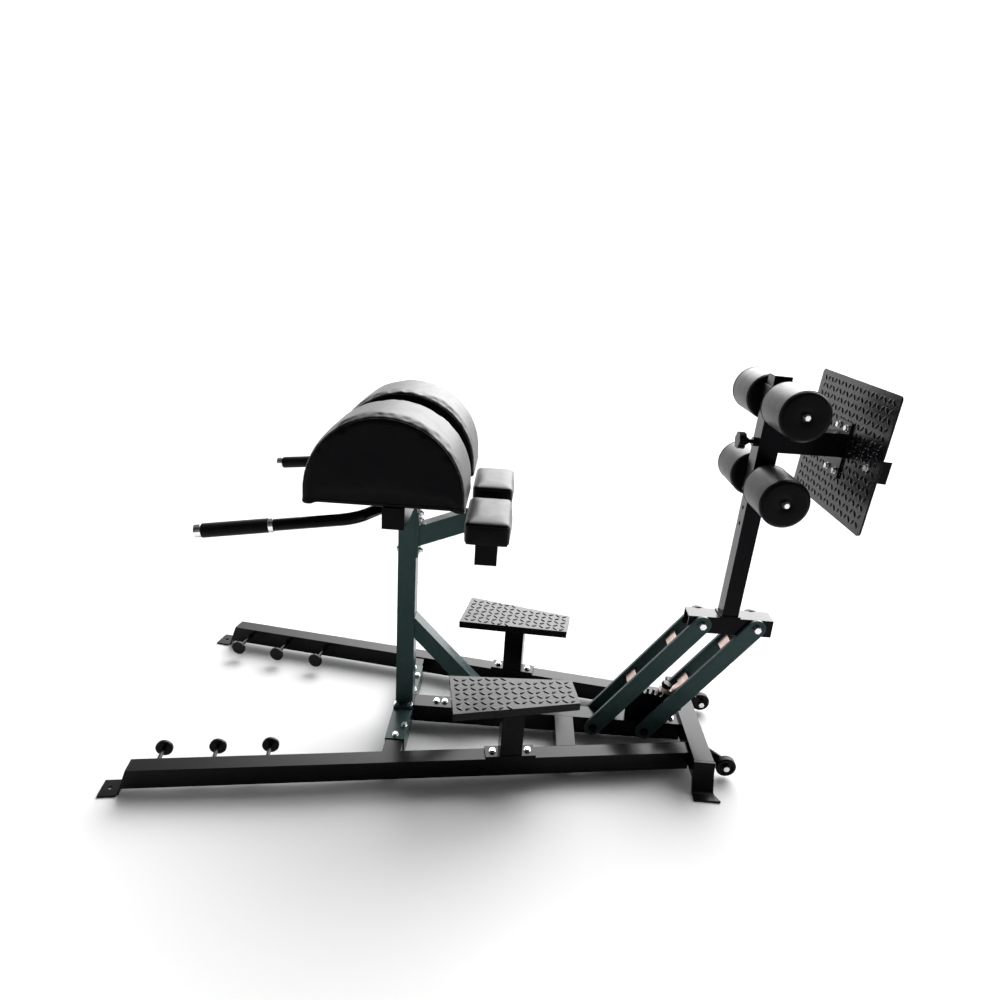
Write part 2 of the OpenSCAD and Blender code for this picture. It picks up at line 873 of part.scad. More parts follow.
// foam roller on its liner tube, on the +Y side
module roller(z) {
    len = roller_out - roller_in;
    post_frame() translate([roller_off, roller_in, z]) rotate([-90, 0, 0])
        rotate_extrude($fn = 96) polygon([[axle_r + 0.06, 0], [roller_r - 8, 0],
            [roller_r - 2.3, 2.3], [roller_r, 8], [roller_r, len - 8],
            [roller_r - 2.3, len - 2.3], [roller_r - 8, len], [axle_r + 0.06, len]]);
}

module roller_upper_right() {
    color(c_pad) roller(roller_lo + roller_pitch);
}

module roller_upper_left() {
    color(c_pad) to_left() roller(roller_lo + roller_pitch);
}

module roller_lower_right() {
    color(c_pad) roller(roller_lo);
}

module roller_lower_left() {
    color(c_pad) to_left() roller(roller_lo);
}

// collars that hold the rollers, and the end bolts with their washers
module roller_bolts() {
    color(c_steel) both() post_frame() for (z = [roller_lo, roller_lo + roller_pitch]) {
        translate([roller_off, roller_out + 2, z]) rotate([-90, 0, 0]) {
            cylinder(r = 10, h = 2);
            translate([0, 0, 2]) cylinder(r = 7.5, h = 5, $fn = 6);
            translate([0, 0, -18]) cylinder(r = 4.9, h = 20);
        }
        translate([roller_off, roller_in - 10, z]) rotate([-90, 0, 0]) difference() {
            cylinder(r = 16, h = 8);
            translate([0, 0, -1]) cylinder(r = axle_r, h = 10);
        }
    }
}

module foot_arm() {
    color(c_black) difference() {
        union() {
            translate([post_base_x, 0, arm_z]) box_tube(300, arm_w, arm_h, wall);
            plate_frame() translate([-flange_t, -45, -86]) cube([flange_t, 90, 160]);
        }
        // trimmed to the sleeve and to the footplate
        post_frame() translate([-200, -100, 300]) cube([200 + sleeve / 2, 200, 500]);
        plate_frame() translate([0, -100, -200]) cube([300, 200, 400]);
        foot_holes(foot_bolt_y, foot_bolt_z);
    }
}

// bolt holes through the footplate and what is bolted to it, at +-y
module foot_holes(y, zs) {
    plate_frame() for (side = [-y, y], z = zs) translate([-20, side, z]) rotate([0, 90, 0])
        cylinder(r = 5.5, h = 100);
}

module footplate() {
    color(c_tread) difference() {
        plate_frame() rotate([0, 90, 0]) linear_extrude(height = plate_t)
            rounded_rect(plate_h, 2 * plate_half, plate_corner);
        foot_holes(foot_bolt_y, foot_bolt_z);
        foot_holes(tube_bolt_y, [foot_tube_z]);
    }
}

module foot_tube() {
    color(c_black) difference() {
        plate_frame() {
            translate([plate_t + foot_tube_t / 2, -foot_tube_half, foot_tube_z])
                rotate([0, 0, 90]) box_tube(2 * foot_tube_half, foot_tube_t, tube, wall);
            // closed ends
            both() translate([plate_t, foot_tube_half, foot_tube_z - tube / 2])
                cube([foot_tube_t, 3, tube]);
        }
        foot_holes(tube_bolt_y, [foot_tube_z]);
    }
}

module foot_bolts() {
    back = plate_t + foot_tube_t;
    color(c_steel) plate_frame() {
        // arm flange to plate, heads on the user's side and nuts behind
        for (y = [-foot_bolt_y, foot_bolt_y], z = foot_bolt_z) {
            translate([-flange_t, y, z]) rotate([0, 90, 0]) bolt(5, flange_t + plate_t + 9);
            translate([plate_t, y, z]) rotate([0, 90, 0]) difference() {
                cylinder(r = 8.5, h = 7, $fn = 6);
                translate([0, 0, -1]) cylinder(r = 4.9, h = 9);
            }
        }
        // plate to tube
        for (y = [-tube_bolt_y, tube_bolt_y]) {
            translate([0, y, foot_tube_z]) rotate([0, 90, 0]) bolt(5, back + 9);
            translate([back, y, foot_tube_z]) rotate([0, 90, 0]) difference() {
                cylinder(r = 8.5, h = 7, $fn = 6);
                translate([0, 0, -1]) cylinder(r = 4.9, h = 9);
            }
        }
    }
}

// plunger with a star knob, on the head side of the sleeve
module height_knob() {
    color(c_black) post_frame() translate([0, 0, knob_at]) rotate([0, -90, 0]) {
        translate([0, 0, post_tube / 2 + 0.6]) cylinder(r = plunger_r, h = 34);
        translate([0, 0, sleeve / 2 + 22]) cylinder(r1 = 8, r2 = 15, h = 13);
        translate([0, 0, sleeve / 2 + 34]) star_knob(24, 20);
    }
}

rail_left();
rail_right();
front_feet();
rear_cross_tube();
rear_feet();
front_cross_tube();
frame_spigots();
centre_beam();
side_tubes();
main_post();
post_brace();
frame_bolts();
step_posts();
step_plate_left();
step_plate_right();
band_pegs();
wheel_brackets();
wheel_axles();
wheel_left();
wheel_right();
pad_tube();
tube_caps();
hip_boards();
hip_pad_left();
hip_pad_right();
handle_left();
handle_right();
grips();
grip_collars();
thigh_arm();
thigh_tube();
thigh_boards();
thigh_pad_left();
thigh_pad_right();
lock_sector();
lower_pivot_bolts();
front_link_arms();
front_link_spacers();
front_link_bushes();
rear_link_arms();
rear_link_spacers();
rear_link_bushes();
lock_barrel();
lock_knob();
carriage();
upper_pivot_bolts();
ankle_post();
post_cap();
ankle_sleeve();
roller_axles();
roller_upper_left();
roller_upper_right();
roller_lower_left();
roller_lower_right();
roller_bolts();
foot_arm();
foot_tube();
footplate();
foot_bolts();
height_knob();
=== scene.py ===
"""Looks of the roman chair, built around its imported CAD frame. Metres, +Z up."""

import json
import math

import bmesh
import bpy
import numpy as np
from mathutils import Matrix, Vector
from mathutils.bvhtree import BVHTree


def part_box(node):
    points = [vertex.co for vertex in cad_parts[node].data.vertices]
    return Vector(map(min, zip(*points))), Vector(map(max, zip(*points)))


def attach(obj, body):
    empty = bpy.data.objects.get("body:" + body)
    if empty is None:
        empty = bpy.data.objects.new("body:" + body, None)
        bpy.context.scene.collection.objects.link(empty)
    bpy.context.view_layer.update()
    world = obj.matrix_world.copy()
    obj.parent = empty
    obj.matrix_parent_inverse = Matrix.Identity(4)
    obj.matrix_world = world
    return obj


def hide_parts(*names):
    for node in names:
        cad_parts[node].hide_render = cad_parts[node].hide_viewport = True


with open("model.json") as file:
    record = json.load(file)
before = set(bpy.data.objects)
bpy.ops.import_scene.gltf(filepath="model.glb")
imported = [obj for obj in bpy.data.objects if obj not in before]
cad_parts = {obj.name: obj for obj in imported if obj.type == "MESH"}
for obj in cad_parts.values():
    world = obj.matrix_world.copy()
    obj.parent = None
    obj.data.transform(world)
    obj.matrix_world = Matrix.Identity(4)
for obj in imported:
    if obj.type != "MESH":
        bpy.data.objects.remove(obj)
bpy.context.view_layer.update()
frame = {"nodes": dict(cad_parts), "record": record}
NODES = frame["nodes"]
MM = 0.001

# ---------------------------------------------------------------- camera

CAMERA_AT = (0.0599, -1.9958, 1.479)
# radians: turned from +Y towards +X, tipped up from the horizon, and rolled anticlockwise
CAMERA_YAW = -0.01467
CAMERA_PITCH = -0.32915
CAMERA_ROLL = 0.06417
# mm
CAMERA_SENSOR = 36
CAMERA_LENS = 25.472


def make_camera():
    data = bpy.data.cameras.new("camera")
    data.lens = CAMERA_LENS
    data.sensor_width = CAMERA_SENSOR
    data.clip_start = 0.05
    cam = bpy.data.objects.new("camera", data)
    bpy.context.scene.collection.objects.link(cam)
    yaw = Matrix.Rotation(-CAMERA_YAW, 4, "Z")
    pitch = Matrix.Rotation(math.pi / 2 + CAMERA_PITCH, 4, "X")
    roll = Matrix.Rotation(CAMERA_ROLL, 4, "Z")
    cam.matrix_world = Matrix.Translation(CAMERA_AT) @ yaw @ pitch @ roll
    bpy.context.scene.camera = cam


# ---------------------------------------------------------------- materials

# black coatings reflect little head-on and much at a glancing angle
DIM_HEAD_ON = (0.06, 0.06, 0.065, 1)


def set_range(node, start, end, low, high):
    """Makes a Map Range node take start..end to low..high."""
    for key, number in (("From Min", start), ("From Max", end), ("To Min", low), ("To Max", high)):
        node.inputs[key].default_value = number


class Shader:
    """A new material with its Principled shader, and short ways to add texture nodes."""

    def __init__(self, name, **sockets):
        """sockets sets the Principled shader's inputs, with _ for the spaces in their names."""
        self.mat = bpy.data.materials.new(name)
        self.mat.use_nodes = True
        self.tree = self.mat.node_tree
        self.bsdf = self.tree.nodes["Principled BSDF"]
        for key, value in sockets.items():
            self.bsdf.inputs[key.replace("_", " ")].default_value = value
        self.place = self.tree.nodes.new("ShaderNodeTexCoord").outputs["Object"]

    def node(self, kind, **values):
        made = self.tree.nodes.new(kind)
        for key, value in values.items():
            setattr(made, key, value)
        return made

    def link(self, a, b):
        self.tree.links.new(a, b)

    def scaled(self, size):
        """Object coordinates stretched by size along each axis."""
        made = self.node("ShaderNodeMapping")
        made.inputs["Scale"].default_value = size
        self.link(self.place, made.inputs["Vector"])
        return made.outputs["Vector"]

    def noise(self, scale, detail=3, rough=0.55, vector=None):
        made = self.node("ShaderNodeTexNoise")
        made.inputs["Scale"].default_value = scale
        made.inputs["Detail"].default_value = detail
        made.inputs["Roughness"].default_value = rough
        self.link(vector or self.place, made.inputs["Vector"])
        return made.outputs["Fac"]

    def voronoi(self, scale, feature="F1"):
        made = self.node("ShaderNodeTexVoronoi", feature=feature)
        made.inputs["Scale"].default_value = scale
        self.link(self.place, made.inputs["Vector"])
        return made.outputs["Distance"]

    def colours(self, value, dark, light, start=0.3, end=0.7):
        """Base colour that runs from dark to light as value goes from start to end."""
        made = self.node("ShaderNodeValToRGB")
        made.color_ramp.elements[0].position = start
        made.color_ramp.elements[1].position = end
        made.color_ramp.elements[0].color = (*dark, 1)
        made.color_ramp.elements[1].color = (*light, 1)
        self.link(value, made.inputs["Fac"])
        self.link(made.outputs["Color"], self.bsdf.inputs["Base Color"])

    def rough(self, value, low, high):
        """Roughness that runs from low to high as value goes from 0 to 1."""
        made = self.node("ShaderNodeMapRange")
        set_range(made, 0, 1, low, high)
        self.link(value, made.inputs["Value"])
        self.link(made.outputs["Result"], self.bsdf.inputs["Roughness"])

    def bump(self, height, strength, distance, below=None):
        """Relief from height, distance metres deep, laid over the relief below if there is one."""
        made = self.node("ShaderNodeBump")
        made.inputs["Strength"].default_value = strength
        made.inputs["Distance"].default_value = distance
        self.link(height, made.inputs["Height"])
        if below:
            self.link(below, made.inputs["Normal"])
        self.link(made.outputs["Normal"], self.bsdf.inputs["Normal"])
        return made.outputs["Normal"]


def powder_coat(name, dark, light, low, high):
    """Glossy powder coat: orange peel, faint cloudiness and handling marks in the gloss."""
    s = Shader(name, IOR=1.5, Specular_Tint=DIM_HEAD_ON)
    s.colours(s.noise(scale=5, detail=4), dark, light)
    s.rough(s.noise(scale=14, detail=5, rough=0.7), low, high)
    peel = s.bump(s.noise(scale=420, detail=2), strength=0.10, distance=0.6 * MM)
    s.bump(s.noise(scale=60, detail=2), strength=0.05, distance=0.6 * MM, below=peel)
    return s.mat


def vinyl(name, grain):
    """Black upholstery vinyl with a fine leather grain."""
    s = Shader(name, IOR=1.5, Specular_Tint=DIM_HEAD_ON)
    s.colours(s.noise(scale=9, detail=4), (0.0015, 0.0015, 0.002), (0.004, 0.004, 0.0045))
    s.rough(s.noise(scale=30, detail=4, rough=0.6), 0.33, 0.47)
    cells = s.bump(s.voronoi(grain, "DISTANCE_TO_EDGE"), strength=0.22, distance=0.4 * MM)
    s.bump(s.noise(scale=90), strength=0.12, distance=0.8 * MM, below=cells)
    return s.mat


def rubber(name):
    """Matt rubber grip with fine turned ribs along X."""
    s = Shader(name, IOR=1.45, Specular_Tint=DIM_HEAD_ON)
    s.colours(s.noise(scale=30), (0.002, 0.002, 0.002), (0.005, 0.005, 0.005))
    s.rough(s.noise(scale=80), 0.45, 0.62)
    wave = s.node("ShaderNodeTexWave", bands_direction="X")
    wave.inputs["Scale"].default_value = 70
    s.link(s.place, wave.inputs["Vector"])
    ribs = s.bump(wave.outputs["Fac"], strength=0.35, distance=0.8 * MM)
    s.bump(s.noise(scale=700, detail=2), strength=0.15, distance=0.3 * MM, below=ribs)
    return s.mat


def bright_metal(name, dark, light, low, high, grain):
    """Plated or polished metal: faint brushed grain and cloudy plating."""
    s = Shader(name, Metallic=1.0)
    s.colours(s.noise(scale=40, detail=4), dark, light)
    s.rough(s.noise(scale=120, detail=4), low, high)
    brushed = s.noise(scale=grain, rough=0.7, vector=s.scaled((1, 6, 1)))
    s.bump(brushed, strength=0.10, distance=0.2 * MM)
    return s.mat


def capped_bolt(name, washer_from, washer_to):
    """Plated bolt on a black washer, which lies between two distances from the middle plane."""
    s = Shader(name, Roughness=0.3)
    split = s.node("ShaderNodeSeparateXYZ")
    s.link(s.place, split.inputs[0])
    off = s.node("ShaderNodeMath", operation="ABSOLUTE")
    s.link(split.outputs["Y"], off.inputs[0])
    inside = s.node("ShaderNodeMath", operation="LESS_THAN")
    outside = s.node("ShaderNodeMath", operation="GREATER_THAN")
    plated = s.node("ShaderNodeMath", operation="MAXIMUM")
    for test, edge, socket in ((inside, washer_from, 0), (outside, washer_to, 1)):
        s.link(off.outputs["Value"], test.inputs[0])
        test.inputs[1].default_value = edge
        s.link(test.outputs["Value"], plated.inputs[socket])
    s.link(plated.outputs["Value"], s.bsdf.inputs["Metallic"])
    s.colours(plated.outputs["Value"], (0.003, 0.003, 0.003), (0.75, 0.75, 0.76), 0.4, 0.6)
    s.bump(s.noise(scale=300), strength=0.08, distance=0.2 * MM)
    return s.mat


def tread_metal(name, dark, light):
    """Coated tread plate: the paint is thin, scuffed and streaked along the rolled steel."""
    s = Shader(name, IOR=1.65, Specular_Tint=DIM_HEAD_ON)
    s.colours(s.noise(scale=26, detail=5, rough=0.65), dark, light)
    s.rough(s.noise(scale=45, detail=5, rough=0.7), 0.12, 0.34)
    streaks = s.noise(scale=160, rough=0.6, vector=s.scaled((1, 9, 1)))
    rolled = s.bump(streaks, strength=0.12, distance=0.3 * MM)
    s.bump(s.noise(scale=600, detail=2), strength=0.12, distance=0.3 * MM, below=rolled)
    return s.mat


def plastic(name, tone, low, high):
    """Moulded black plastic with a fine spark-eroded grain."""
    s = Shader(name, IOR=1.45, Specular_Tint=DIM_HEAD_ON)
    s.colours(s.noise(scale=20), (tone * 0.7,) * 3, (tone * 1.3,) * 3)
    s.rough(s.noise(scale=50), low, high)
    s.bump(s.voronoi(1400), strength=0.15, distance=0.2 * MM)
    return s.mat


def plywood(name):
    """Plywood stained black, its grain and plies still showing."""
    s = Shader(name, Roughness=0.6, Specular_Tint=DIM_HEAD_ON)
    grain = s.noise(scale=18, detail=6, rough=0.7, vector=s.scaled((1, 12, 12)))
    s.colours(grain, (0.002, 0.0015, 0.001), (0.006, 0.005, 0.004))
    pores = s.noise(scale=60, detail=4, rough=0.7, vector=s.scaled((1, 14, 14)))
    s.bump(pores, strength=0.25, distance=0.5 * MM)
    return s.mat


# by the material slot that the record gives each node
MATERIALS = {
    "black_paint": powder_coat("black_powder_coat", (0.0015, 0.0015, 0.002), (0.004, 0.004, 0.005),
                               0.16, 0.30),
    "green_paint": powder_coat("slate_powder_coat", (0.029, 0.054, 0.052), (0.039, 0.067, 0.065),
                               0.20, 0.34),
    "vinyl": vinyl("pad_vinyl", 900),
    "roller_foam": vinyl("roller_vinyl", 1300),
    "grip_rubber": rubber("grip_rubber"),
    "zinc": bright_metal("zinc_plate", (0.50, 0.50, 0.51), (0.74, 0.74, 0.75), 0.18, 0.34, 500),
    "chrome": bright_metal("chrome", (0.72, 0.72, 0.74), (0.86, 0.86, 0.88), 0.06, 0.14, 900),
    "wheel_plastic": plastic("wheel_plastic", 0.004, 0.4, 0.55),
    "plywood": plywood("plywood"),
    "tread_plate": tread_metal("tread_plate", (0.003, 0.003, 0.004), (0.007, 0.007, 0.008)),
    "bronze": bright_metal("bronze", (0.42, 0.27, 0.11), (0.60, 0.42, 0.18), 0.3, 0.45, 600),
    "black_plastic": plastic("black_plastic", 0.003, 0.28, 0.45),
}
SLOT_OF = {row["node"]: row["material_slot"] for row in frame["record"]["subparts"]}

# the looks of nodes that differ from the rest of their slot
PINK_PLATE = bright_metal("chromated_plate", (0.42, 0.31, 0.28), (0.68, 0.53, 0.49), 0.28, 0.42, 500)
OWN_LOOK = {"lower_pivot_bolts": MATERIALS["black_paint"],
            "front_link_spacers": PINK_PLATE, "rear_link_spacers": PINK_PLATE}
# bolts on black washers: how far in from the bolt's end the washer's two faces are
WASHERED = {"roller_bolts": (7 * MM, 5 * MM), "upper_pivot_bolts": (11 * MM, 8 * MM)}
SLACK = 0.05 * MM
for node, (inner_face, outer_face) in WASHERED.items():
    bolt_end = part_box(node)[1].y
    OWN_LOOK[node] = capped_bolt(f"capped_{node}", bolt_end - inner_face - SLACK,
                                 bolt_end - outer_face + SLACK)


# ---------------------------------------------------------------- the CAD pieces

# widths of the eased edges: on square tube, on other pieces, and on bolts
TUBE_EDGE = 2.2 * MM
PLATE_EDGE = 0.8 * MM
BOLT_EDGE = 0.4 * MM
WELD_DISTANCE = 0.02 * MM
FLAT_WITHIN = math.radians(0.5)
SHARP_OVER = math.radians(40)
# parts of the names of nodes made of square tube
TUBES = ("rail_", "cross_tube", "centre_beam", "side_tubes", "main_post", "post_brace", "pad_tube",
         "thigh_arm", "thigh_tube", "ankle_post", "ankle_sleeve", "foot_arm", "foot_tube", "step_posts",
         "carriage")


def ease_edges(obj, width):
    """Joins the imported triangles into whole faces and rounds the sharp edges between them."""
    weld = obj.modifiers.new("weld", "WELD")
    weld.merge_threshold = WELD_DISTANCE
    faces = obj.modifiers.new("whole_faces", "DECIMATE")
    faces.decimate_type = "DISSOLVE"
    faces.angle_limit = FLAT_WITHIN
    edges = obj.modifiers.new("eased_edges", "BEVEL")
    edges.width = width
    edges.segments = 3
    edges.limit_method = "ANGLE"
    edges.angle_limit = SHARP_OVER
    edges.use_clamp_overlap = True
    shade = obj.modifiers.new("shade", "WEIGHTED_NORMAL")
    shade.keep_sharp = False
    shade.weight = 80


def dress_cad():
    """Every CAD node gets its material, and eased edges unless it is a bent round bar."""
    for name, obj in NODES.items():
        for slot in obj.material_slots:
            slot.material = OWN_LOOK.get(name, MATERIALS[SLOT_OF[name]])
        if name.endswith("bolts"):
            ease_edges(obj, BOLT_EDGE)
        elif any(part in name for part in TUBES):
            ease_edges(obj, TUBE_EDGE)
        elif not name.startswith("handle"):
            ease_edges(obj, PLATE_EDGE)


# ---------------------------------------------------------------- mesh helpers

X_AXIS, Y_AXIS, Z_AXIS = Vector((1, 0, 0)), Vector((0, 1, 0)), Vector((0, 0, 1))
CORD_SIDES = 6
CORD_REFERENCE = Vector((0.31, 0.17, 0.93))


def new_object(name, bm):
    """Turns bm into an object with its faces turned outwards, and frees bm."""
    mesh = bpy.data.meshes.new(name)
    bmesh.ops.recalc_face_normals(bm, faces=bm.faces)
    bm.to_mesh(mesh)
    bm.free()
    obj = bpy.data.objects.new(name, mesh)
    bpy.context.scene.collection.objects.link(obj)
    return obj


def add_piece(name, bm, body, slot):
    """Turns bm into a smooth piece that rides on body and takes slot's material."""
    obj = new_object(name, bm)
    for face in obj.data.polygons:
        face.use_smooth = True
    obj.data.materials.append(MATERIALS[slot])
    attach(obj, body)
    return obj


def circle(centre, side, up, radius, sides):
    """Points round centre, in the plane of the unit vectors side and up."""
    turns = [math.tau * k / sides for k in range(sides)]
    return [centre + radius * (math.cos(t) * side + math.sin(t) * up) for t in turns]


def quarter(count):
    """That many angles, from 0 to a right angle."""
    return np.linspace(0, math.pi / 2, count)


def loft(bm, rings, closed_ends=True):
    """Faces between rings of equally many points; returns the vertex rings."""
    made = [[bm.verts.new(p) for p in ring] for ring in rings]
    count = len(made[0])
    for a, b in zip(made, made[1:]):
        for i in range(count):
            j = (i + 1) % count
            bm.faces.new((a[i], a[j], b[j], b[i]))
    if closed_ends:
        bm.faces.new(made[0])
        bm.faces.new(made[-1])
    return made


def cord_loop(bm, points, radius):
    """A closed round cord along points, which never run along CORD_REFERENCE."""
    rings = []
    for behind, p, ahead in zip(points[-1:] + points[:-1], points, points[1:] + points[:1]):
        along = (ahead - behind).normalized()
        side = along.cross(CORD_REFERENCE).normalized()
        rings.append(circle(p, side, side.cross(along), radius, CORD_SIDES))
    made = loft(bm, rings + rings[:1], closed_ends=False)
    bmesh.ops.remove_doubles(bm, verts=made[0] + made[-1], dist=0.001 * MM)


def lathe(bm, start, axis, profile, sides):
    """Turns profile, (radius, distance from start) points, round axis; both ends are capped flat."""
    side = axis.orthogonal().normalized()
    up = axis.cross(side)
    loft(bm, [circle(start + along * axis, side, up, radius, sides) for radius, along in profile])


def inset(outline, amount):
    """An outline of (a, b) points moved along its normals, towards its middle."""
    points = np.array(outline)
    ahead = np.roll(points, -1, axis=0) - np.roll(points, 1, axis=0)
    normal = np.stack([ahead[:, 1], -ahead[:, 0]], axis=1)
    normal /= np.linalg.norm(normal, axis=1)[:, None]
    middle = points.mean(axis=0)
    facing = np.sign(((points - middle) * normal).sum(axis=1))
    return points - amount * normal * facing[:, None]


# ---------------------------------------------------------------- stuffed pads

VOXEL = 6 * MM
CLOTH_FRAMES = 20
CLOTH_PRESSURE = 4
CLOTH_STRETCH = 20
CLOTH_BENDING = 8
# height over which a pad's foot lets go of what it stands on
HELD_HEIGHT = 12 * MM
# share of a seam cord's radius that its middle stands off the cover
SEAM_PROUD = 0.2
# share of a rounded edge that lies between its end face and its seam
SEAM_SHARE = 0.9

# the hip pads: room left for the swelling, and its limit
HIP_ROOM = 0.5 * MM
HIP_SWELL = 3.5 * MM
# radii of the rounded end edges and of the lower corners
HIP_EDGE = 6 * MM
HIP_CORNER = 12 * MM
DOME_POINTS = 73
# the cover is drawn down round the board: how far down, how far in under it, and the slope
# from there back up to just under the pad
HIP_WRAP = 7 * MM
HIP_FLAP = 28 * MM
FLAP_SLOPE = 8 * MM
UNDERSIDE_GAP = 0.5 * MM
# the end seams: how far in from the outline, least height over the pad's foot, and radius
HIP_SEAM_IN = 8 * MM
HIP_SEAM_FOOT = 9 * MM
HIP_SEAM_R = 1.3 * MM

# the thigh pads: room left for the swelling, and its limit
THIGH_ROOM = 3 * MM
THIGH_SWELL = 5 * MM
# sizes of the rounded top edge, the bevelled foot edge and the upright corners
THIGH_EDGE = 10 * MM
THIGH_FOOT_EDGE = 3 * MM
THIGH_CORNER = 12 * MM
# how far the cover is drawn down round the board
THIGH_WRAP = 12.3 * MM
THIGH_SEAM_R = 1.2 * MM


def inflate(bm, cap, flat_below):
    """No point moves more than cap, and none that is under flat_below moves at all."""
    scene = bpy.context.scene
    obj = new_object("soft", bm)
    bpy.context.view_layer.objects.active = obj
    remesh = obj.modifiers.new("remesh", "REMESH")
    remesh.mode = "VOXEL"
    remesh.voxel_size = VOXEL
    depsgraph = bpy.context.evaluated_depsgraph_get()
    base = bpy.data.meshes.new_from_object(obj.evaluated_get(depsgraph))
    obj.modifiers.clear()
    obj.data = base
    start = np.array([v.co for v in base.vertices])
    moved = start.copy()
    cloth = obj.modifiers.new("cloth", "CLOTH")
    cloth.settings.quality = 5
    cloth.settings.use_pressure = True
    cloth.settings.uniform_pressure_force = CLOTH_PRESSURE
    cloth.settings.effector_weights.gravity = 0
    cloth.settings.tension_stiffness = CLOTH_STRETCH
    cloth.settings.compression_stiffness = CLOTH_STRETCH
    cloth.settings.bending_stiffness = CLOTH_BENDING
    for number in range(1, CLOTH_FRAMES + 1):
        scene.frame_set(number)
    depsgraph = bpy.context.evaluated_depsgraph_get()
    blown = obj.evaluated_get(depsgraph).to_mesh()
    moved = np.array([v.co for v in blown.vertices])
    scene.frame_set(1)
    obj.modifiers.clear()
    step = moved - start
    length = np.linalg.norm(step, axis=1)
    step *= np.minimum(1, cap / np.maximum(length, 1e-9))[:, None]
    free = np.clip((start[:, 2] - flat_below) / HELD_HEIGHT, 0, 1)
    final = start + step * free[:, None]
    base.vertices.foreach_set("co", final.ravel())
    base.update()
    out = bmesh.new()
    out.from_mesh(base)
    bpy.data.objects.remove(obj)
    bmesh.ops.smooth_vert(out, verts=out.verts, factor=0.5,
                          use_axis_x=True, use_axis_y=True, use_axis_z=True)
    return out


def mirrored(bm):
    """A copy on the other side of the middle plane."""
    out = bm.copy()
    for v in out.verts:
        v.co.y = -v.co.y
    bmesh.ops.reverse_faces(out, faces=out.faces)
    return out


def subdivided(obj):
    """obj with one level of subdivision."""
    sub = obj.modifiers.new("smooth", "SUBSURF")
    sub.levels = 1
    sub.render_levels = 1
    return obj


def laid_seam(bm_pad, ring, radius):
    """A closed seam cord laid on the pad's surface, along the ring of points."""
    tree = BVHTree.FromBMesh(bm_pad)
    points = []
    for p in ring:
        place, normal = tree.find_nearest(p)[:2]
        points.append(place + normal * radius * SEAM_PROUD)
    bm = bmesh.new()
    cord_loop(bm, points, radius)
    return bm


def finish_pads(name, swollen, seams):
    """The +Y pad as built and the -Y pad as its mirror, each with its seams."""
    for side, flip in (("right", False), ("left", True)):
        node = f"{name}_{side}"
        shape = mirrored(swollen) if flip else swollen.copy()
        pad = subdivided(add_piece(node + "_cover", shape, "base", "vinyl"))
        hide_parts(node)
        for i, seam in enumerate(seams):
            cord = mirrored(seam) if flip else seam.copy()
            add_piece(f"{node}_seam_{i}", cord, "base", "vinyl")
    swollen.free()
    for seam in seams:
        seam.free()


def dome_outline(lo, hi):
    """The hip pad's outline in X and Z: half-round dome, short sides, and below them the
    cover drawn round the ends of its board."""
    radius = (hi.x - lo.x) / 2
    middle = (hi.x + lo.x) / 2
    spring = hi.z - radius
    points = [(middle + radius * math.cos(t), spring + radius * math.sin(t))
              for t in np.linspace(0, math.pi, DOME_POINTS)]
    under = lo.z - HIP_WRAP
    foot = [(-radius + HIP_CORNER * (1 - math.cos(t)), under + HIP_CORNER * (1 - math.sin(t)))
            for t in quarter(7)]
    foot += [(-radius + HIP_FLAP, under), (-radius + HIP_FLAP + FLAP_SLOPE, lo.z - UNDERSIDE_GAP)]
    points += [(middle + x, z) for x, z in foot] + [(middle - x, z) for x, z in reversed(foot)]
    return points


def hip_pads():
    """The two domed pads: one block along Y, swollen, with a seam near each end."""
    lo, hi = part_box("hip_pad_right")
    lo_in = Vector((lo.x + HIP_ROOM, lo.y + HIP_ROOM, lo.z))
    hi_in = Vector((hi.x - HIP_ROOM, hi.y - HIP_ROOM, hi.z - HIP_ROOM))
    outline = dome_outline(lo_in, hi_in)
    rounding = [(HIP_EDGE * (1 - math.cos(t)), HIP_EDGE * (1 - math.sin(t))) for t in quarter(6)]
    rings = [(lo_in.y + along, into) for along, into in rounding]
    rings += [(hi_in.y - along, into) for along, into in reversed(rounding)]
    bm = bmesh.new()
    loft(bm, [[Vector((x, y, z)) for x, z in inset(outline, into)] for y, into in rings])
    swollen = inflate(bm, HIP_SWELL, lo.z)
    seams = []
    for y in (lo.y, hi.y):
        ring = [Vector((x, y, max(z, lo.z + HIP_SEAM_FOOT))) for x, z in inset(outline, HIP_SEAM_IN)]
        seams.append(laid_seam(swollen, ring, HIP_SEAM_R))
    finish_pads("hip_pad", swollen, seams)


def round_rect(lo, hi, radius):
    """A rectangle in X and Y with rounded corners."""
    points = []
    corners = ((hi.x - radius, hi.y - radius), (lo.x + radius, hi.y - radius),
               (lo.x + radius, lo.y + radius), (hi.x - radius, lo.y + radius))
    for turn, (cx, cy) in enumerate(corners):
        for t in turn * math.pi / 2 + quarter(9):
            points.append((cx + radius * math.cos(t), cy + radius * math.sin(t)))
    return points


